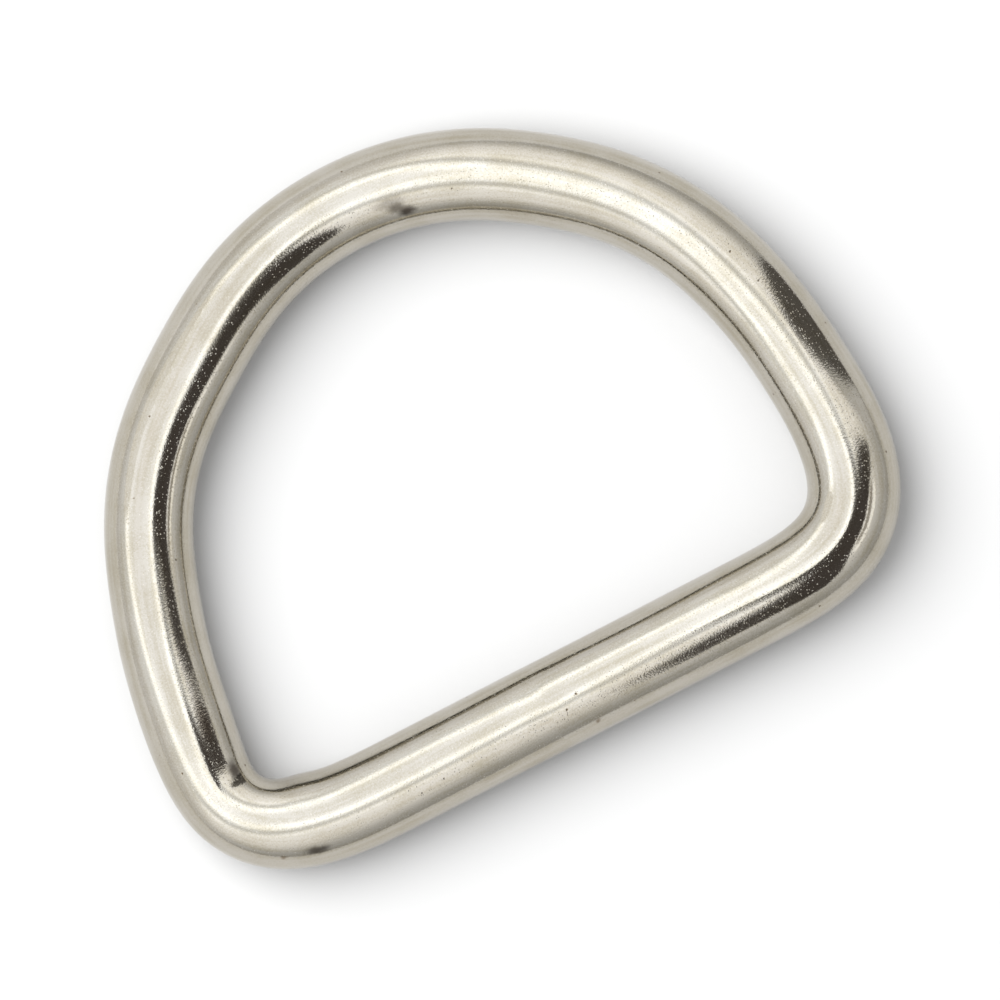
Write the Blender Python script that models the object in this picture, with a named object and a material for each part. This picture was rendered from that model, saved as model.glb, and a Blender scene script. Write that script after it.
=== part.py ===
# A D ring of round steel wire: a straight bar and a wide bow, welded shut into one closed piece.
# Metres, +Z up. It lies flat on z = 0 with the bar along X and the bow toward +Y,
# and the origin is the middle of its outline on that surface.

import math

import bmesh
import bpy
import numpy as np

# Driving dimensions
INSIDE_WIDTH = 0.040         # widest clear width along the bar, for 40 mm webbing
INSIDE_HEIGHT = 0.0284       # clear height from the bar to the crown of the bow
WIRE_DIAMETER = 0.006        # across the flats of the faceted section
CORNER_RADIUS = 0.0025       # inside radius of the two tight bends at the ends of the bar
BOW_RADIUS = 0.016           # inside radius of the open bends, or as much as their sides allow
BEND_BLEND = 0.002           # length over which one bend springs into the next

# How finely the wire is cut into facets
WIRE_SIDES = 24              # a multiple of four, so that flats face down, up, in and out
STATION_STEP = 0.0012        # spacing of the cross-sections along the wire
OUTLINE_STEP = 0.0001        # spacing of the points that the bends are blended on
ARC_POINTS = 40              # points on each bend before they are spaced evenly

WIRE_RADIUS = WIRE_DIAMETER / 2

# The opening's outline is a polygon whose corners are rounded by bends, from the left end of the bar
# and around with the metal on the right. Across is a share of half the inside width from the middle,
# up is a share of the inside height from the bar. The hand-bent bow leans a little to the right.
BENDS = (
    {"name": "bar_left", "across": -0.86, "up": 0.00, "radius": BOW_RADIUS},
    {"name": "bar_right", "across": 0.78, "up": 0.00, "radius": BOW_RADIUS},
    {"name": "corner_right", "across": 0.96, "up": 0.01, "radius": CORNER_RADIUS},
    {"name": "foot_right", "across": 1.01, "up": 0.15, "radius": BOW_RADIUS},
    {"name": "leg_right", "across": 0.97, "up": 0.44, "radius": BOW_RADIUS},
    {"name": "shoulder_right", "across": 0.85, "up": 0.74, "radius": BOW_RADIUS},
    {"name": "crown", "across": 0.08, "up": 1.15, "radius": BOW_RADIUS},
    {"name": "shoulder_left", "across": -0.79, "up": 0.73, "radius": BOW_RADIUS},
    {"name": "leg_left", "across": -0.95, "up": 0.38, "radius": BOW_RADIUS},
    {"name": "corner_left", "across": -1.02, "up": 0.04, "radius": CORNER_RADIUS},
)

# Nickel-plated steel, as the photograph shows it
NICKEL_COLOUR = (0.62, 0.57, 0.49, 1.0)
NICKEL_ROUGHNESS = 0.22


def wire_line():
    """Points along the wire's centreline: each bend of the opening as an arc, out by the wire's radius."""
    corners = np.array([(bend["across"] * INSIDE_WIDTH / 2, bend["up"] * INSIDE_HEIGHT) for bend in BENDS])
    leaving = np.roll(corners, -1, axis=0) - corners
    arriving = np.roll(leaving, 1, axis=0)
    heading = np.arctan2(arriving[:, 1], arriving[:, 0])
    turn = (np.arctan2(leaving[:, 1], leaving[:, 0]) - heading) % math.tau

    # A bend takes its radius times the tangent of half its turn from each side, and two that
    # want more than the side between them share it out.
    tangent = np.array([bend["radius"] for bend in BENDS]) * np.tan(turn / 2)
    share = np.minimum(1.0, np.hypot(*leaving.T) / (tangent + np.roll(tangent, -1)))
    tangent = tangent * np.minimum(share, np.roll(share, 1))
    radius = tangent / np.tan(turn / 2)

    forward = np.column_stack([np.cos(heading), np.sin(heading)])
    inward = np.column_stack([-forward[:, 1], forward[:, 0]])
    centre = corners - forward * tangent[:, None] + inward * radius[:, None]
    angle = (heading - math.pi / 2)[:, None] + turn[:, None] * np.linspace(0, 1, ARC_POINTS)
    reach = (radius + WIRE_RADIUS)[:, None]
    arcs = np.stack([centre[:, :1] + reach * np.cos(angle), centre[:, 1:] + reach * np.sin(angle)], axis=-1)
    return arcs.reshape(-1, 2)


def evenly_spaced(points, step):
    """Points at equal steps around the closed line through the given points."""
    closed = np.vstack([points, points[:1]])
    travelled = np.concatenate([[0.0], np.cumsum(np.hypot(*np.diff(closed, axis=0).T))])
    count = round(travelled[-1] / step)
    places = np.arange(count) * travelled[-1] / count
    return np.column_stack([np.interp(places, travelled, closed[:, axis]) for axis in (0, 1)])


def blended(points):
    """The closed line with its bends run into each other by a bell-shaped moving average."""
    reach = round(4 * BEND_BLEND / OUTLINE_STEP)
    shifts = range(-reach, reach + 1)
    weights = [math.exp(-0.5 * (shift * OUTLINE_STEP / BEND_BLEND) ** 2) for shift in shifts]
    total = sum(weight * np.roll(points, shift, axis=0) for weight, shift in zip(weights, shifts))
    return total / sum(weights)


def fitted_to_opening(points):
    """The line centred, and stretched a hair so that the opening has its exact inside width and height."""
    low, high = points.min(axis=0), points.max(axis=0)
    span = np.array([INSIDE_WIDTH + WIRE_DIAMETER, INSIDE_HEIGHT + WIRE_DIAMETER])
    return (points - (low + high) / 2) * span / (high - low)


def wire_mesh(line):
    """A closed tube along the line, with the wire's section as one polygon at each station."""
    ahead = np.roll(line, -1, axis=0) - np.roll(line, 1, axis=0)
    ahead /= np.hypot(*ahead.T)[:, None]
    outward = np.column_stack([ahead[:, 1], -ahead[:, 0]])
    section_radius = WIRE_RADIUS / math.cos(math.pi / WIRE_SIDES)
    angles = (np.arange(WIRE_SIDES) + 0.5) * math.tau / WIRE_SIDES
    aside = section_radius * np.cos(angles)
    height = WIRE_RADIUS + section_radius * np.sin(angles)
    mesh = bmesh.new()
    rings = []
    for point, out in zip(line, outward):
        around = point + aside[:, None] * out
        rings.append([mesh.verts.new((x, y, z)) for (x, y), z in zip(around, height)])
    for ring, next_ring in zip(rings, rings[1:] + rings[:1]):
        for side in range(WIRE_SIDES):
            after = (side + 1) % WIRE_SIDES
            mesh.faces.new((ring[side], next_ring[side], next_ring[after], ring[after]))
    bmesh.ops.recalc_face_normals(mesh, faces=mesh.faces)
    return mesh


def nickel_plated_steel():
    """Bright nickel over steel wire."""
    material = bpy.data.materials.new("nickel_plated_steel")
    material.use_nodes = True
    shader = material.node_tree.nodes["Principled BSDF"]
    shader.inputs["Base Color"].default_value = NICKEL_COLOUR
    shader.inputs["Metallic"].default_value = 1.0
    shader.inputs["Roughness"].default_value = NICKEL_ROUGHNESS
    return material


def build_d_ring():
    """The whole ring, one solid."""
    outline = blended(evenly_spaced(wire_line(), OUTLINE_STEP))
    line = evenly_spaced(fitted_to_opening(outline), STATION_STEP)
    data = bpy.data.meshes.new("d_ring")
    mesh = wire_mesh(line)
    mesh.to_mesh(data)
    mesh.free()
    data.shade_smooth()
    data.materials.append(nickel_plated_steel())
    ring = bpy.data.objects.new("d_ring", data)
    bpy.context.scene.collection.objects.link(ring)


for leftover in list(bpy.data.objects):
    bpy.data.objects.remove(leftover, do_unlink=True)
build_d_ring()
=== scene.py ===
import math

import bpy
import numpy as np
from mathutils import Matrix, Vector


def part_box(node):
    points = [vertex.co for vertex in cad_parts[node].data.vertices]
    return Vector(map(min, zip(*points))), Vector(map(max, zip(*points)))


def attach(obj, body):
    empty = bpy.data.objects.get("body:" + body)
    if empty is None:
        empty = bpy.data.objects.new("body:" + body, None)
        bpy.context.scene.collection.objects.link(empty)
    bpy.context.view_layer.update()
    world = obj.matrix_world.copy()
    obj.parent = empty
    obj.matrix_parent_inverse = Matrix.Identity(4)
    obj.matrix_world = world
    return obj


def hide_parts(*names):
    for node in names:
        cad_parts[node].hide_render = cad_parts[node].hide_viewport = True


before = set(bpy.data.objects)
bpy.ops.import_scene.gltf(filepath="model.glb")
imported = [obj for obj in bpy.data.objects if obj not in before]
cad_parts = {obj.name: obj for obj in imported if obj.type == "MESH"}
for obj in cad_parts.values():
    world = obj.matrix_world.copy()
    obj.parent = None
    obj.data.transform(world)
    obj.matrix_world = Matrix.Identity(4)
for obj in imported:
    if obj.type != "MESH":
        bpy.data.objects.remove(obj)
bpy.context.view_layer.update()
print("frame loaded")

mm = 0.001


def linearColour(hexText):
    # sRGB hex to linear light: a straight line at the dark end, a power curve above it
    shares = [int(hexText[at:at + 2], 16) / 255 for at in (1, 3, 5)]
    linear = [share / 12.92 if share <= 0.04045 else ((share + 0.055) / 1.055) ** 2.4 for share in shares]
    return linear + [1.0]


def addNode(tree, kind, settings=None, links=None):
    # one node: a setting goes to the socket of that name or number, or else to the node itself
    node = tree.nodes.new(kind)
    for name, value in (settings or {}).items():
        if isinstance(name, int) or name in node.inputs:
            node.inputs[name].default_value = value
        else:
            setattr(node, name, value)
    for name, source in (links or {}).items():
        tree.links.new(source, node.inputs[name])
    return node


def newMaterial(name):
    material = bpy.data.materials.new(name)
    material.use_nodes = True
    material.node_tree.nodes.clear()
    return material


# The wire's line. The opening is a polygon with rounded corners, metal on the right: across is a share
# of half its width from the middle, up is a share of its height from the bar.

wire = {
    "sections": 1000,          # along the wire, the first of them at the weld
    "pointsAround": 96,        # round the wire, the first of them underneath
    "weldShare": 0.137,        # where the weld is, as a share of the line from the bar's left bend
    "cornerRadiusMm": 2.5,     # inside the two tight bends
    "bowRadiusMm": 16.0,       # inside the open bends
    "bendBlendMm": 2.0,        # how far one bend springs into the next
    "outlineStepMm": 0.1,
    "arcPoints": 40,
}
bends = [
    {"name": "barLeft", "across": -0.86, "up": 0.00, "bend": "bowRadiusMm"},
    {"name": "barRight", "across": 0.78, "up": 0.00, "bend": "bowRadiusMm"},
    {"name": "cornerRight", "across": 0.96, "up": 0.01, "bend": "cornerRadiusMm"},
    {"name": "footRight", "across": 1.01, "up": 0.15, "bend": "bowRadiusMm"},
    {"name": "legRight", "across": 0.97, "up": 0.44, "bend": "bowRadiusMm"},
    {"name": "shoulderRight", "across": 0.85, "up": 0.74, "bend": "bowRadiusMm"},
    {"name": "crown", "across": 0.08, "up": 1.15, "bend": "bowRadiusMm"},
    {"name": "shoulderLeft", "across": -0.79, "up": 0.73, "bend": "bowRadiusMm"},
    {"name": "legLeft", "across": -0.95, "up": 0.38, "bend": "bowRadiusMm"},
    {"name": "cornerLeft", "across": -1.02, "up": 0.04, "bend": "cornerRadiusMm"},
]

ringLow, ringHigh = (np.array(corner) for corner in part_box("d_ring"))
wireRadius = (ringHigh[2] - ringLow[2]) / 2
openingSize = (ringHigh - ringLow)[:2] - 4 * wireRadius
ringMiddle = (ringHigh + ringLow)[:2] / 2


def bendPoints():
    # each bend is an arc on its corner's two sides, of radius tangent length over tan(turn / 2),
    # drawn on the wire's centreline, one wire radius outside the opening
    corners = np.array([(row["across"] / 2, row["up"]) for row in bends]) * openingSize
    leaving = np.roll(corners, -1, axis=0) - corners
    arriving = np.roll(leaving, 1, axis=0)
    heading = np.arctan2(arriving[:, 1], arriving[:, 0])
    turn = (np.arctan2(leaving[:, 1], leaving[:, 0]) - heading) % math.tau
    tangent = np.array([wire[row["bend"]] * mm for row in bends]) * np.tan(turn / 2)
    share = np.minimum(1.0, np.hypot(*leaving.T) / (tangent + np.roll(tangent, -1)))
    tangent = tangent * np.minimum(share, np.roll(share, 1))
    radius = tangent / np.tan(turn / 2)
    forward = np.column_stack([np.cos(heading), np.sin(heading)])
    inward = np.column_stack([-forward[:, 1], forward[:, 0]])
    centre = corners - forward * tangent[:, None] + inward * radius[:, None]
    angle = (heading - math.pi / 2)[:, None] + turn[:, None] * np.linspace(0, 1, wire["arcPoints"])
    reach = (radius + wireRadius)[:, None]
    arcs = np.stack([centre[:, :1] + reach * np.cos(angle), centre[:, 1:] + reach * np.sin(angle)], axis=-1)
    return arcs.reshape(-1, 2)


def evenlySpaced(points, count, start=0.0):
    # the closed line through the points, at count equal steps of its length from a share of it onwards
    closed = np.vstack([points, points[:1]])
    travelled = np.concatenate([[0.0], np.cumsum(np.hypot(*np.diff(closed, axis=0).T))])
    places = (start + np.arange(count) / count) % 1.0 * travelled[-1]
    line = np.column_stack([np.interp(places, travelled, closed[:, axis]) for axis in (0, 1)])
    return line, travelled[-1]


def wireLine():
    # the centreline: bends run into each other by a bell-shaped moving average, then fitted to the CAD box
    rough = bendPoints()
    length = evenlySpaced(rough, 2)[1]
    fine = evenlySpaced(rough, round(length / (wire["outlineStepMm"] * mm)))[0]
    spacing = length / len(fine)
    offsets = (np.arange(len(fine)) + len(fine) // 2) % len(fine) - len(fine) // 2
    weights = np.exp(-0.5 * (offsets * spacing / (wire["bendBlendMm"] * mm)) ** 2)
    spectrum = np.fft.fft(weights / weights.sum())[:, None]
    fine = np.fft.ifft(np.fft.fft(fine, axis=0) * spectrum, axis=0).real
    low, high = fine.min(axis=0), fine.max(axis=0)
    lineSize = openingSize + 2 * wireRadius
    fine = ringMiddle + (fine - (low + high) / 2) * lineSize / (high - low)
    return evenlySpaced(fine, wire["sections"], wire["weldShare"])


# What the bending, welding and tumbling did to the round wire. Along is a share of the line from the
# weld, round is degrees with 0 outside the ring, 90 on top and 180 inside the opening.

handwork = {
    "ripples": 14,             # long shallow waves that make the reflections wander
    "rippleDeepMm": 0.006,
    "rippleLengthMm": (12, 70),
    "seed": 11,
    "thinned": [
        {"name": "lower left bend", "along": 0.832, "reachMm": 2.2, "thinnerMm": 0.14},
        {"name": "left leg", "along": 0.700, "reachMm": 9.0, "thinnerMm": 0.13},
        {"name": "left shoulder", "along": 0.515, "reachMm": 5.5, "thinnerMm": 0.11},
        {"name": "crown", "along": 0.310, "reachMm": 10.0, "thinnerMm": 0.05},
    ],
    "dents": [
        {"name": "weld ground off", "along": 0.000, "round": 118, "alongMm": 0.9, "roundDeg": 20,
         "deepMm": 0.05},
        {"name": "left leg worn on top", "along": 0.690, "round": 90, "alongMm": 9.0, "roundDeg": 14,
         "deepMm": 0.03},
        {"name": "inside of the lower left bend", "along": 0.839, "round": 180, "alongMm": 2.3,
         "roundDeg": 34, "deepMm": 0.20},
        {"name": "bulge where that bend ends", "along": 0.873, "round": 180, "alongMm": 1.0,
         "roundDeg": 35, "deepMm": -0.10},
        {"name": "outside of the lower left bend", "along": 0.812, "round": 0, "alongMm": 1.8,
         "roundDeg": 60, "deepMm": 0.07},
    ],
}


def surfaceChange(places, angle, length):
    # how far the surface stands off a true round, over places along and angles round the wire:
    # bell curves along it for thinning, bell curves both ways for dents, sine waves for ripples
    along = places[:, None]
    change = np.zeros((len(places), len(angle)))
    for row in handwork["thinned"]:
        away = ((along - row["along"] + 0.5) % 1.0 - 0.5) * length
        change = change - row["thinnerMm"] * mm * np.exp(-0.5 * (away / (row["reachMm"] * mm)) ** 2)
    for row in handwork["dents"]:
        away = ((along - row["along"] + 0.5) % 1.0 - 0.5) * length
        aside = (np.degrees(angle)[None, :] - row["round"] + 180) % 360 - 180
        bell = np.exp(-0.5 * (away / (row["alongMm"] * mm)) ** 2 - 0.5 * (aside / row["roundDeg"]) ** 2)
        change = change - row["deepMm"] * mm * bell
    chance = np.random.default_rng(handwork["seed"])
    shortest, longest = (length / mm / size for size in handwork["rippleLengthMm"])
    for ripple in range(handwork["ripples"]):
        waves = round(chance.uniform(longest, shortest))
        turns = chance.integers(1, 6) * chance.choice([-1, 1])
        phase = chance.uniform(0, math.tau)
        change = change + handwork["rippleDeepMm"] * mm / abs(turns) ** 0.5 * np.sin(
            math.tau * waves * along + turns * angle[None, :] + phase)
    return change


def ringSurface():
    # point(place, angle) = line(place) + reach * (cos angle * outward(place) + sin angle * up)
    line, length = wireLine()
    places = np.arange(len(line)) / len(line)
    ahead = np.roll(line, -1, axis=0) - np.roll(line, 1, axis=0)
    ahead /= np.hypot(*ahead.T)[:, None]
    outward = np.column_stack([ahead[:, 1], -ahead[:, 0]])
    angle = np.arange(wire["pointsAround"]) * math.tau / wire["pointsAround"] - math.pi / 2
    reach = wireRadius + surfaceChange(places, angle, length)
    flat = line[:, None, :] + (reach * np.cos(angle))[..., None] * outward[:, None, :]
    height = np.maximum(ringLow[2], ringLow[2] + wireRadius + reach * np.sin(angle))
    return np.dstack([flat, height]), length


def pieceOfQuads(name, points, quads, material):
    # an object of four-sided faces, each row of quads the numbers of its corners among the points
    mesh = bpy.data.meshes.new(name)
    mesh.vertices.add(points.size // 3)
    mesh.vertices.foreach_set("co", points.reshape(-1).astype(np.float32))
    mesh.loops.add(quads.size)
    mesh.loops.foreach_set("vertex_index", quads.reshape(-1).astype(np.int32))
    mesh.polygons.add(quads.size // 4)
    mesh.polygons.foreach_set("loop_start", np.arange(0, quads.size, 4, dtype=np.int32))
    mesh.update(calc_edges=True)
    mesh.materials.append(material)
    piece = bpy.data.objects.new(name, mesh)
    bpy.context.scene.collection.objects.link(piece)
    return piece


def closedTube(name, points, length, girth, material):
    # points is a grid, sections by points round, closed both ways; each cell is one quad, and the
    # unwrapped surface is in metres, with its seams at the weld and underneath
    sections, around = points.shape[:2]
    here = np.arange(sections * around).reshape(sections, around)
    ahead = np.roll(here, -1, axis=0)
    quads = np.stack([here, ahead, np.roll(ahead, -1, axis=1), np.roll(here, -1, axis=1)], axis=-1)
    piece = pieceOfQuads(name, points, quads, material)
    alongCorner = (np.arange(sections)[:, None, None] + np.array([0, 1, 1, 0])) * length / sections
    roundCorner = (np.arange(around)[None, :, None] + np.array([0, 0, 1, 1])) * girth / around
    unwrapped = np.stack(np.broadcast_arrays(alongCorner, roundCorner), axis=-1)
    layer = piece.data.uv_layers.new(name="unwrapped")
    layer.data.foreach_set("uv", unwrapped.reshape(-1).astype(np.float32))
    piece.data.shade_smooth()
    return piece


# The plating

plating = {
    "colour": "#b8b3a8",
    "dullColour": "#a69f8e",       # where the plate is thin and yellows
    "roughness": (0.07, 0.115),
    "grainMm": 0.12,               # the tumbled peening of the wire under the plate
    "grainDeepMm": 0.0026,
    "drawMm": (9.0, 0.40),         # die lines along the wire, length and width
    "drawDeepMm": 0.002,
    "speckEveryMm": 0.15,          # dimples that flash in the dark streaks
    "speckMm": 0.050,
    "speckDeepMm": 0.009,
    "speckChance": (0.30, 0.95),   # cells drawn below the first have no dimple, above the second a full one
    "pitEveryMm": 1.7,
    "pitMm": 0.065,
    "pitDeepMm": 0.02,
    "cloudMm": 2.4,                # patches where the plate is duller
    "dullFrom": (1.25, 1.9),       # the sum of clouds, grain and die lines where dulling starts and is full
    "roughFrom": (0.3, 0.75),      # the same for roughness, by the clouds alone
    "raggedMm": 0.30,              # how far the edge of a stain wanders
    "stainFade": (0.2, 1.1),       # where a stain starts to fade and where it ends, in shares of its size
    "stainColour": "#3d352e",
    "rustColour": "#6b5a44",
}
stains = [
    {"along": 0.875, "round": 50, "longMm": 0.9, "wideMm": 0.45, "cover": 0.8, "colour": "stainColour"},
    {"along": 0.8205, "round": 126, "longMm": 1.1, "wideMm": 0.65, "cover": 0.85, "colour": "stainColour"},
    {"along": 0.792, "round": 112, "longMm": 2.2, "wideMm": 0.6, "cover": 0.5, "colour": "rustColour"},
    {"along": 0.8615, "round": 44, "longMm": 0.25, "wideMm": 0.2, "cover": 0.7, "colour": "rustColour"},
    {"along": 0.0185, "round": 42, "longMm": 0.25, "wideMm": 0.2, "cover": 0.7, "colour": "rustColour"},
    {"along": 0.4780, "round": 127, "longMm": 0.9, "wideMm": 0.50, "cover": 0.9, "colour": "stainColour"},
    {"along": 0.4830, "round": 119, "longMm": 0.9, "wideMm": 0.45, "cover": 0.7, "colour": "stainColour"},
    {"along": 0.4860, "round": 110, "longMm": 1.4, "wideMm": 0.6, "cover": 0.4, "colour": "stainColour"},
]


def nickelOverSteel(length, girth):
    # nickel plate over drawn and tumbled steel wire: a warm grey mirror, broken up by the wire's fine
    # peened grain and dimples, die lines that run along it, a few pits, and stains where the plate is worn
    material = newMaterial("nickelPlatedSteel")
    tree = material.node_tree
    place = addNode(tree, "ShaderNodeTexCoord")
    spot = place.outputs["Object"]
    unwrapped = place.outputs["UV"]

    grain = addNode(tree, "ShaderNodeTexNoise", {
        "Scale": 1 / (plating["grainMm"] * mm), "Detail": 1.5, "Roughness": 0.6}, {"Vector": spot})
    drawLong, drawWide = (size * mm for size in plating["drawMm"])
    stretched = addNode(tree, "ShaderNodeMapping", {"Scale": (1 / drawLong, 1 / drawWide, 1)},
                        {"Vector": unwrapped})
    dieLines = addNode(tree, "ShaderNodeTexNoise", {"Scale": 1.0, "Detail": 2.0, "noise_dimensions": "2D"},
                       {"Vector": stretched.outputs["Vector"]})
    clouds = addNode(tree, "ShaderNodeTexNoise", {"Scale": 1 / (plating["cloudMm"] * mm), "Detail": 3.0},
                     {"Vector": spot})

    # a dimple sits in the middle of some of the cells, and a pit in each of the larger ones
    speckCells = addNode(tree, "ShaderNodeTexVoronoi", {"Scale": 1 / (plating["speckEveryMm"] * mm)},
                         {"Vector": spot})
    speckSize = plating["speckMm"] / plating["speckEveryMm"]
    speckShape = addNode(tree, "ShaderNodeMapRange", {
        "interpolation_type": "SMOOTHSTEP", "From Min": 0.0, "From Max": speckSize,
        "To Min": 1.0, "To Max": 0.0}, {"Value": speckCells.outputs["Distance"]})
    speckChance = addNode(tree, "ShaderNodeSeparateColor", links={"Color": speckCells.outputs["Color"]})
    never, surely = plating["speckChance"]
    speckPick = addNode(tree, "ShaderNodeMapRange", {"From Min": never, "From Max": surely},
                        {"Value": speckChance.outputs["Red"]})
    speck = addNode(tree, "ShaderNodeMath", {"operation": "MULTIPLY"}, {
        0: speckShape.outputs["Result"], 1: speckPick.outputs["Result"]})
    pitCells = addNode(tree, "ShaderNodeTexVoronoi", {"Scale": 1 / (plating["pitEveryMm"] * mm)},
                       {"Vector": spot})
    pitSize = plating["pitMm"] / plating["pitEveryMm"]
    pit = addNode(tree, "ShaderNodeMapRange", {
        "From Min": pitSize * 0.5, "From Max": pitSize * 1.5, "To Min": 1.0, "To Max": 0.0},
        {"Value": pitCells.outputs["Distance"]})

    normal = None
    for height, deepMm in ((dieLines.outputs["Fac"], plating["drawDeepMm"]),
                           (grain.outputs["Fac"], plating["grainDeepMm"]),
                           (speck.outputs["Value"], -plating["speckDeepMm"]),
                           (pit.outputs["Result"], -plating["pitDeepMm"])):
        links = {"Height": height, "Normal": normal} if normal else {"Height": height}
        bump = addNode(tree, "ShaderNodeBump", {
            "Distance": abs(deepMm) * mm, "Strength": 1.0, "invert": deepMm < 0}, links)
        normal = bump.outputs["Normal"]

    streaked = addNode(tree, "ShaderNodeMath", {"operation": "ADD"}, {
        0: dieLines.outputs["Fac"], 1: grain.outputs["Fac"]})
    mottled = addNode(tree, "ShaderNodeMath", {"operation": "ADD"}, {
        0: streaked.outputs["Value"], 1: clouds.outputs["Fac"]})
    clean, fullyDull = plating["dullFrom"]
    worn = addNode(tree, "ShaderNodeMapRange", {"From Min": clean, "From Max": fullyDull},
                   {"Value": mottled.outputs["Value"]})
    colour = addNode(tree, "ShaderNodeMix", {
        "data_type": "RGBA", 6: linearColour(plating["colour"]), 7: linearColour(plating["dullColour"])},
        {0: worn.outputs["Result"]}).outputs[2]

    # a stain is an oval on the unwrapped surface, whose places are first shifted about by a fine noise
    shift = addNode(tree, "ShaderNodeTexNoise", {"Scale": 1 / (plating["raggedMm"] * mm), "Detail": 2.0},
                    {"Vector": spot})
    wander = plating["raggedMm"] * mm
    fadeFrom, fadeTo = plating["stainFade"]
    shifted = addNode(tree, "ShaderNodeVectorMath", {"operation": "MULTIPLY_ADD", 1: (wander, wander, 0)},
                      {0: shift.outputs["Color"], 2: unwrapped})
    for stain in stains:
        perLength = np.array([1 / (stain["longMm"] * mm), 1 / (stain["wideMm"] * mm), 0.0])
        centre = np.array([stain["along"] * length, (stain["round"] + 90) / 360 * girth, 0.0]) + wander / 2
        oval = addNode(tree, "ShaderNodeVectorMath", {
            "operation": "MULTIPLY_ADD", 1: tuple(perLength), 2: tuple(-centre * perLength)},
            {0: shifted.outputs["Vector"]})
        away = addNode(tree, "ShaderNodeVectorMath", {"operation": "LENGTH"}, {0: oval.outputs["Vector"]})
        cover = addNode(tree, "ShaderNodeMapRange", {
            "interpolation_type": "SMOOTHSTEP", "From Min": fadeFrom, "From Max": fadeTo,
            "To Min": stain["cover"], "To Max": 0.0}, {"Value": away.outputs["Value"]})
        colour = addNode(tree, "ShaderNodeMix", {
            "data_type": "RGBA", 7: linearColour(plating[stain["colour"]])},
            {0: cover.outputs["Result"], 6: colour}).outputs[2]
    colour = addNode(tree, "ShaderNodeMix", {"data_type": "RGBA", 7: linearColour(plating["rustColour"])},
                     {0: pit.outputs["Result"], 6: colour}).outputs[2]

    smooth, rough = plating["roughness"]
    smoothTo, roughFrom = plating["roughFrom"]
    gloss = addNode(tree, "ShaderNodeMapRange", {
        "From Min": smoothTo, "From Max": roughFrom, "To Min": smooth, "To Max": rough},
        {"Value": clouds.outputs["Fac"]})
    shader = addNode(tree, "ShaderNodeBsdfPrincipled", {"Metallic": 1.0}, {
        "Base Color": colour, "Roughness": gloss.outputs["Result"], "Normal": normal})
    addNode(tree, "ShaderNodeOutputMaterial", links={"Surface": shader.outputs["BSDF"]})
    return material


ringPoints, wireLength = ringSurface()
girth = math.tau * wireRadius
dRing = closedTube("nickelDRing", ringPoints, wireLength, girth, nickelOverSteel(wireLength, girth))
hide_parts("d_ring")
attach(dRing, "root")
print("ring made")

# The picture's frame: where the ring lies in it, and how it is turned

picture = {
    "widthMm": 63.87,          # what the picture takes in, at the wire's mid height
    "ringAcross": -0.0513,     # the ring's middle from the picture's middle, in shares of its width
    "ringUp": 0.0447,
    "barTurn": 27.27,          # the bar rises to the right by this many degrees
    "cameraHeight": 0.80,
    "sensorMm": 36.0,
}

turn = math.radians(picture["barTurn"])
pictureRight = np.array([math.cos(turn), -math.sin(turn)])
pictureUp = np.array([math.sin(turn), math.cos(turn)])
pictureMiddle = ringMiddle - picture["widthMm"] * mm * (
    picture["ringAcross"] * pictureRight + picture["ringUp"] * pictureUp)


def skyWay(right, up):
    # the direction that lies so many degrees from overhead toward the picture's right and top
    right, up = np.asarray(right, float)[..., None], np.asarray(up, float)[..., None]
    tilt = np.radians(np.hypot(right, up))
    toward = (right * pictureRight + up * pictureUp) / np.maximum(np.hypot(right, up), 1e-6)
    return np.concatenate([toward * np.sin(tilt), np.cos(tilt)], axis=-1)


# The table

table = {"size": 2.0, "colour": "#a4a4a4", "roughness": 0.6}


def mattWhiteBoard():
    # painted board: an even matt white that the lamp brings up to full white, and grey in the ring's shade
    board = newMaterial("mattWhiteBoard")
    shader = addNode(board.node_tree, "ShaderNodeBsdfPrincipled", {
        "Base Color": linearColour(table["colour"]), "Roughness": table["roughness"]})
    addNode(board.node_tree, "ShaderNodeOutputMaterial", links={"Surface": shader.outputs["BSDF"]})
    return board


ways = np.array([(-1, -1), (1, -1), (1, 1), (-1, 1)])
tableCorners = np.column_stack([pictureMiddle + table["size"] / 2 * ways, np.full(4, ringLow[2])])
whiteTable = pieceOfQuads("whiteTable", tableCorners, np.arange(4), mattWhiteBoard())
print("table laid")

# The light: a round diffuser lamp in a white tent. The metal mirrors a small tent that only it sees, and
# the table is lit by a lamp and an even sky of the same kind. Glow goes by degrees from the lamp's middle.

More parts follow.
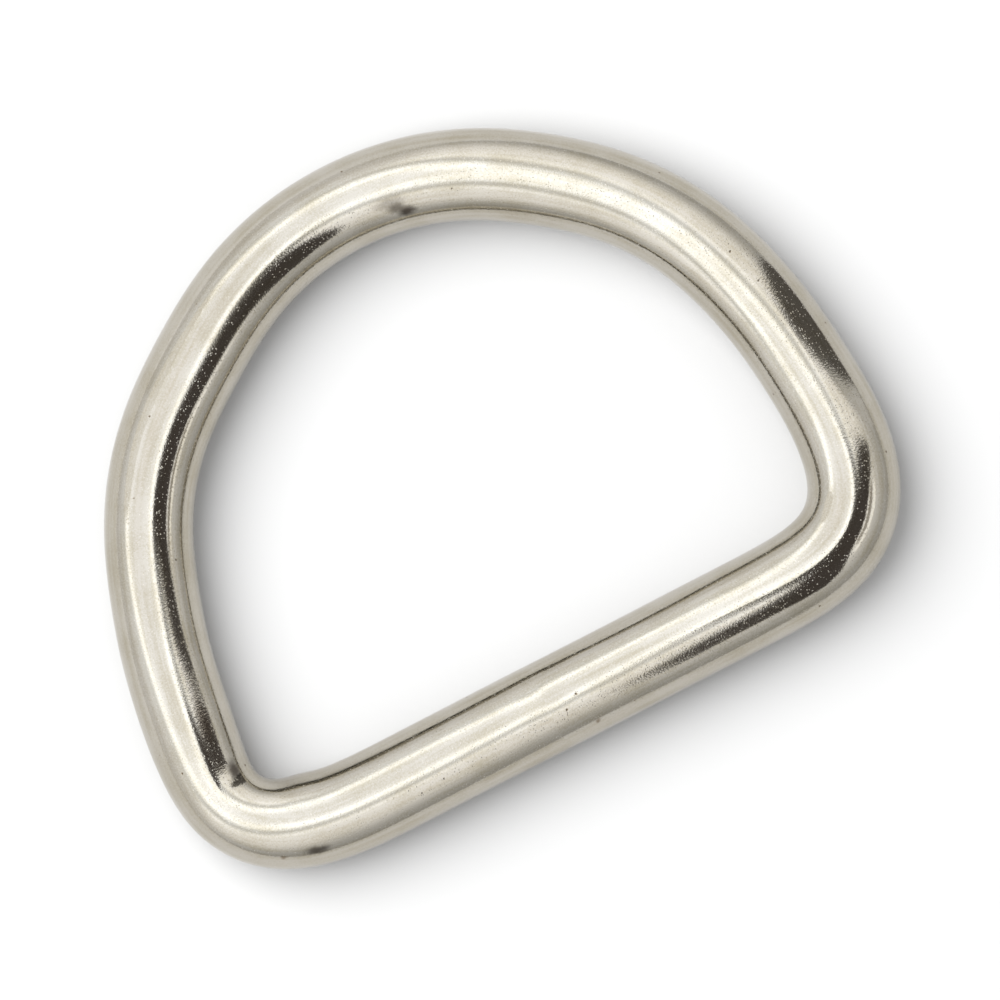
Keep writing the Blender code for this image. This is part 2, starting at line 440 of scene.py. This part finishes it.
lamp = {
    "far": 0.28,               # metres to the tent's cloth
    "middle": (-28, 8),        # degrees from overhead, to the picture's right and top
    "lampGlow": [(0, 1.71), (10, 1.71), (16, 1.79), (21, 1.9), (25, 2.12), (27.5, 2.65), (32, 2.65),
                 (35, 1.95)],
    "roofGlow": [(38, 1.35), (41, 1.35), (44, 1.85), (47, 2.12), (51, 1.82), (58, 1.7), (66, 1.62),
                 (74, 1.4), (82, 1.15), (90, 1.0), (110, 0.95)],
    "wallGlow": [(38, 1.4), (41, 1.45), (46, 1.5), (60, 1.5), (110, 1.4)],
    "wall": (-0.95, 0.3),      # the side of the tent where its wall is seen instead of its roof
    "wallFrom": (0.38, 0.55),
    "tints": [(0, "#fcfcff"), (26, "#f6f9ff"), (35, "#f8fbff"), (60, "#fdfdff"), (75, "#ffffff")],
    "brightest": 3.0,
    "horizon": 0.66,           # how much of it is left at the table's level
    "fullAt": 0.6,             # height of a direction from which all of it is there
    "darkSide": (0.35, -0.94), # the picture's lower right is darker
    "darkSideFrom": 0.2,       # how far toward that side the darkening starts
    "darkSideLoss": 0.15,
    "segments": 96,            # of the dome, round it and from its foot to its top
    "rings": 48,
    "foot": -6,                # degrees above the ring's middle, so that it ends below the table
    "top": 89.9,
}
keyLight = {                   # the same lamp and tent, as the table sees them
    "way": (-32, 12.5), "far": 0.6, "size": 0.66, "watts": 9.4, "tentGlow": 1.15, "tentColour": "#ffffff",
}
tentSheets = {                 # outlines are degrees to the picture's right and top from overhead, and
    "lowAt": 40,               # far is metres from the ring, overhead and at this many degrees off it
    "step": 0.5,               # degrees from one point of a sheet to the next
    "sheets": [
        {"name": "blackFlag", "glow": 0.09, "far": (0.270, 0.200), "colour": "#fff2ec",
         "outline": [(3.8, -1.2), (8, 1), (15, 1.5), (20.5, 3.5), (30, 7.5), (40, 11.5), (57, 16), (50, 7),
                     (42.5, 1), (40, -3), (40, -8), (38.5, -13), (37.5, -17.5), (37.5, -20.5), (39.5, -25),
                     (41.5, -30), (43.5, -35), (44.5, -41), (42, -47), (35, -49), (28, -48), (24.5, -43),
                     (20.5, -36), (18.5, -29), (16.5, -22), (14.5, -16), (11.5, -11), (7.5, -6.5)]},
        {"name": "lightStand", "glow": 0.14, "far": (0.200, 0.200), "colour": "#fff8f2",
         "outline": [(22, 13), (36, 20), (52, 28), (68, 34.5), (80, 40), (70, 59), (62, 57), (50, 44.5),
                     (40, 33), (29, 21)]},
        {"name": "greyPanel", "glow": 0.82, "far": (0.205, 0.205), "colour": "#ffffff",
         "outline": [(36, 19), (50, 22), (62, 24), (82, 28), (78, 42), (66, 38), (46, 26)]},
        {"name": "brownCard", "glow": 0.50, "far": (0.200, 0.200), "colour": "#fff8ee",
         "outline": [(44.5, 1), (50, 3), (50, -6), (48, -14), (43, -22), (40, -19), (42.5, -11),
                     (43.5, -4)]},
        {"name": "whiteCard", "glow": 1.65, "far": (0.205, 0.205), "colour": "#ffffff",
         "outline": [(50, 2), (56, 3), (57, -8), (53, -18), (46, -28), (41, -24), (48, -14)]},
        {"name": "tentSeam", "glow": 1.42, "far": (0.270, 0.270), "colour": "#ffffff",
         "outline": [(-45, 22), (-50, 12), (-51, 4), (-58, 0), (-68, 2), (-72, 16), (-66, 30), (-54, 36),
                     (-46, 34)]},
    ],
}

world = bpy.data.worlds.new("whiteTent")
bpy.context.scene.world = world
world.use_nodes = True
world.node_tree.nodes.clear()
background = addNode(world.node_tree, "ShaderNodeBackground", {
    "Strength": keyLight["tentGlow"], "Color": linearColour(keyLight["tentColour"])})
addNode(world.node_tree, "ShaderNodeOutputWorld", links={"Surface": background.outputs["Background"]})

tentMiddle = np.array([*ringMiddle, ringLow[2] + wireRadius])


def rampByAngle(tree, share, stops):
    # a colour ramp over the degrees from the lamp's middle, given as a share of the widest of them
    node = addNode(tree, "ShaderNodeValToRGB", links={0: share})
    ramp = node.color_ramp
    while len(ramp.elements) < len(stops):
        ramp.elements.new(0.5)
    for stop, (degrees, shade) in zip(ramp.elements, stops):
        stop.position = degrees / lamp["wallGlow"][-1][0]
        stop.color = shade
    return node.outputs["Color"]


def greyStops(glows):
    return [(degrees, [glow / lamp["brightest"]] * 3 + [1.0]) for degrees, glow in glows]


def towardSide(tree, way, side):
    # how far a direction points to one side of the picture: its dot product with that side
    flatWay = side[0] * pictureRight + side[1] * pictureUp
    node = addNode(tree, "ShaderNodeVectorMath", {"operation": "DOT_PRODUCT", 1: (*flatWay, 0.0)}, {0: way})
    return node.outputs["Value"]


def whiteTentCloth():
    # white diffusing cloth lit from outside by the round lamp: it glows by the angle between a direction
    # from the ring and the lamp's, dimmer toward the table and on the side away from the lamp
    cloth = newMaterial("whiteTentCloth")
    tree = cloth.node_tree
    place = addNode(tree, "ShaderNodeTexCoord").outputs["Object"]
    fromRing = addNode(tree, "ShaderNodeVectorMath", {"operation": "SUBTRACT", 1: tuple(tentMiddle)},
                       {0: place})
    way = addNode(tree, "ShaderNodeVectorMath", {"operation": "NORMALIZE"}, {0: fromRing.outputs["Vector"]})
    way = way.outputs["Vector"]
    lampWay = skyWay(*lamp["middle"])
    beside = addNode(tree, "ShaderNodeVectorMath", {"operation": "DOT_PRODUCT", 1: tuple(lampWay)},
                     {0: way})
    offLamp = addNode(tree, "ShaderNodeMath", {"operation": "ARCCOSINE"}, {0: beside.outputs["Value"]})
    widest = math.radians(lamp["wallGlow"][-1][0])
    share = addNode(tree, "ShaderNodeMath", {"operation": "DIVIDE", 1: widest}, {0: offLamp.outputs[0]})
    share = share.outputs[0]

    tintStops = [(degrees, linearColour(hexText)) for degrees, hexText in lamp["tints"]]
    tint = rampByAngle(tree, share, tintStops)
    roof = rampByAngle(tree, share, greyStops(lamp["lampGlow"] + lamp["roofGlow"]))
    wall = rampByAngle(tree, share, greyStops(lamp["lampGlow"] + lamp["wallGlow"]))
    wallStart, wallFull = lamp["wallFrom"]
    walled = addNode(tree, "ShaderNodeMapRange", {
        "interpolation_type": "SMOOTHSTEP", "From Min": wallStart, "From Max": wallFull},
        {"Value": towardSide(tree, way, lamp["wall"])})
    glow = addNode(tree, "ShaderNodeMix", {"data_type": "RGBA"}, {
        0: walled.outputs["Result"], 6: roof, 7: wall})
    bright = addNode(tree, "ShaderNodeMath", {"operation": "MULTIPLY", 1: lamp["brightest"]},
                     {0: glow.outputs[2]})

    height = addNode(tree, "ShaderNodeSeparateXYZ", links={0: way})
    low = addNode(tree, "ShaderNodeMapRange", {
        "interpolation_type": "SMOOTHSTEP", "From Min": 0.0, "From Max": lamp["fullAt"],
        "To Min": lamp["horizon"], "To Max": 1.0}, {"Value": height.outputs["Z"]})
    dim = addNode(tree, "ShaderNodeMapRange", {
        "From Min": lamp["darkSideFrom"], "From Max": 1.0,
        "To Min": 1.0, "To Max": 1.0 - lamp["darkSideLoss"]},
        {"Value": towardSide(tree, way, lamp["darkSide"])})
    left = addNode(tree, "ShaderNodeMath", {"operation": "MULTIPLY"}, {
        0: low.outputs[0], 1: dim.outputs[0]})
    strength = addNode(tree, "ShaderNodeMath", {"operation": "MULTIPLY"}, {
        0: left.outputs[0], 1: bright.outputs[0]})
    glowing = addNode(tree, "ShaderNodeEmission", links={"Color": tint, "Strength": strength.outputs[0]})
    addNode(tree, "ShaderNodeOutputMaterial", links={"Surface": glowing.outputs["Emission"]})
    return cloth


def plainCloth(name, glow, colour):
    # dyed cloth that lets a little of the light through: one even glow
    cloth = newMaterial(name)
    light = addNode(cloth.node_tree, "ShaderNodeEmission", {
        "Strength": glow, "Color": linearColour(colour)})
    addNode(cloth.node_tree, "ShaderNodeOutputMaterial", links={"Surface": light.outputs["Emission"]})
    return cloth


def tentDome():
    # point(turn, climb) = middle + far * (cos climb cos turn, cos climb sin turn, sin climb)
    rings, segments = lamp["rings"], lamp["segments"]
    turn = np.arange(segments) * math.tau / segments
    climb = np.radians(np.linspace(lamp["foot"], lamp["top"], rings))[:, None]
    dome = np.stack(np.broadcast_arrays(np.cos(climb) * np.cos(turn), np.cos(climb) * np.sin(turn),
                                        np.sin(climb)), axis=-1)
    here = np.arange(rings * segments).reshape(rings, segments)
    ahead = np.roll(here, -1, axis=1)
    quads = np.stack([here[:-1], here[1:], ahead[1:], ahead[:-1]], axis=-1)
    return tentMiddle + lamp["far"] * dome, quads


def hungSheet(outline, far, step, lowAt):
    # a grid in degrees is laid on a ball round the ring, whose radius changes evenly from overhead down,
    # and those of its cells are kept whose middle has an odd number of the outline's sides to its right
    corners = np.array(outline, float)
    (fromRight, fromUp), (toRight, toUp) = corners.T, np.roll(corners, -1, axis=0).T
    spans = zip(corners.min(axis=0), corners.max(axis=0))
    right, up = (np.arange(low, high + step, step) for low, high in spans)
    middleRight, middleUp = np.meshgrid(right[:-1] + step / 2, up[:-1] + step / 2, indexing="ij")
    middleRight, middleUp = middleRight[..., None], middleUp[..., None]
    rise = np.where(toUp == fromUp, 1.0, toUp - fromUp)
    meets = fromRight + (middleUp - fromUp) * (toRight - fromRight) / rise
    passed = ((fromUp > middleUp) != (toUp > middleUp)) & (middleRight < meets)
    here = np.arange(right.size * up.size).reshape(right.size, up.size)
    quads = np.stack([here[:-1, :-1], here[1:, :-1], here[1:, 1:], here[:-1, 1:]], axis=-1)
    used, quads = np.unique(quads[passed.sum(axis=-1) % 2 == 1], return_inverse=True)
    gridRight, gridUp = np.meshgrid(right, up, indexing="ij")
    lowness = np.minimum(np.hypot(gridRight, gridUp) / lowAt, 1.0)[..., None]
    points = tentMiddle + (far[0] + (far[1] - far[0]) * lowness) * skyWay(gridRight, gridUp)
    return points.reshape(-1, 3)[used], quads


def hiddenFromTable(name, points, quads, material):
    # a piece of the surroundings that shows in the metal alone
    sheet = pieceOfQuads(name, points, quads, material)
    sheet.visible_camera = False
    sheet.visible_diffuse = False
    sheet.visible_shadow = False


hiddenFromTable("whiteTent", *tentDome(), whiteTentCloth())
for sheet in tentSheets["sheets"]:
    points, quads = hungSheet(sheet["outline"], sheet["far"], tentSheets["step"], tentSheets["lowAt"])
    hiddenFromTable(sheet["name"], points, quads, plainCloth(sheet["name"], sheet["glow"], sheet["colour"]))
print("tent hung")

diffuser = bpy.data.lights.new("keyLight", "AREA")
diffuser.shape = "DISK"
diffuser.size = keyLight["size"]
diffuser.energy = keyLight["watts"]
keyLamp = bpy.data.objects.new("keyLight", diffuser)
bpy.context.scene.collection.objects.link(keyLamp)
keyWay = skyWay(*keyLight["way"])
keyLamp.location = (*pictureMiddle, 0) + keyLight["far"] * keyWay
keyLamp.rotation_euler = Vector(keyWay).to_track_quat("Z", "Y").to_euler()
keyLamp.visible_camera = False
keyLamp.visible_glossy = False     # the metal reflects it as part of the tent

print("light set")

# The camera, straight above

cameraData = bpy.data.cameras.new("camera")
camera = bpy.data.objects.new("camera", cameraData)
bpy.context.scene.collection.objects.link(camera)
camera.location = (*pictureMiddle, ringLow[2] + wireRadius + picture["cameraHeight"])
camera.rotation_euler = (0.0, 0.0, -turn)
cameraData.sensor_width = picture["sensorMm"]
cameraData.lens = picture["sensorMm"] * picture["cameraHeight"] / (picture["widthMm"] * mm)
cameraData.clip_start = 0.01
bpy.context.scene.camera = camera
bpy.context.scene.view_settings.view_transform = "Standard"
print("camera set")
